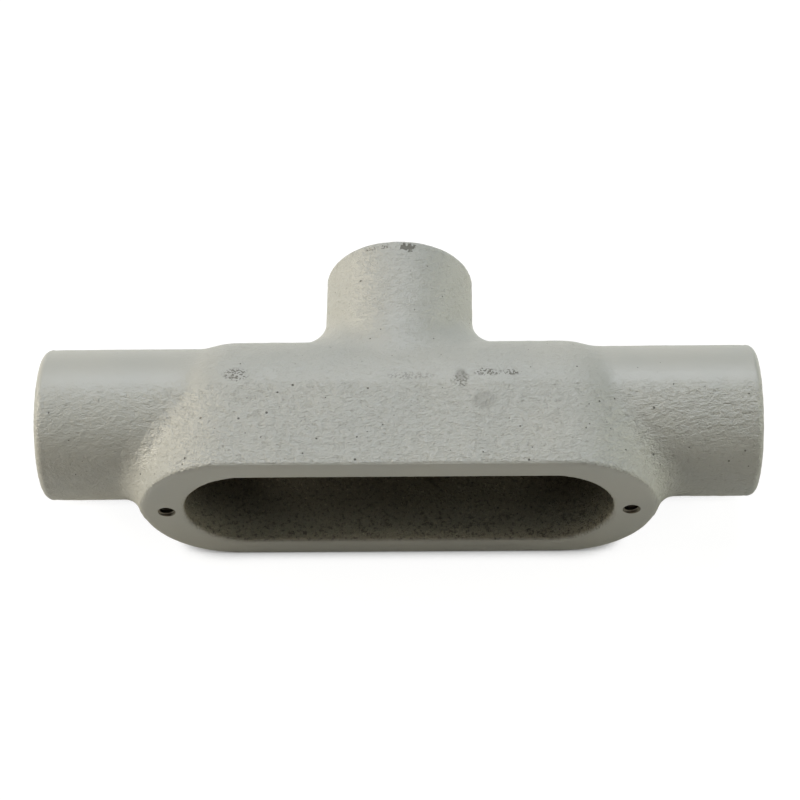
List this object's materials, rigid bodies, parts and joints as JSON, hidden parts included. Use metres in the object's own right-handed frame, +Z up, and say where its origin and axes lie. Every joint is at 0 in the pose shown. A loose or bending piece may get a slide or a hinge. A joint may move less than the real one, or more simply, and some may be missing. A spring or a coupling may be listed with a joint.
{
  "type": "conduit body",
  "caption": "Cast iron conduit body, tee with the branch out of the back: oblong cover opening in front, two threaded run hubs in line and a threaded hub opposite the opening.",
  "frame": {"origin": "middle of the underside of the object's box, where it lies on one flat side", "axes": "+X along the run hubs, -Y out of the cover opening, +Y out of the branch hub, +Z up, square to both hub axes"},
  "size_m": [0.1422, 0.0548, 0.0362],
  "materials": {
    "grey_enamel_iron": "light grey enamel on rough sand cast iron"
  },
  "bodies": {
    "root": {"body_casting": "grey_enamel_iron"}
  },
  "joints": []
}
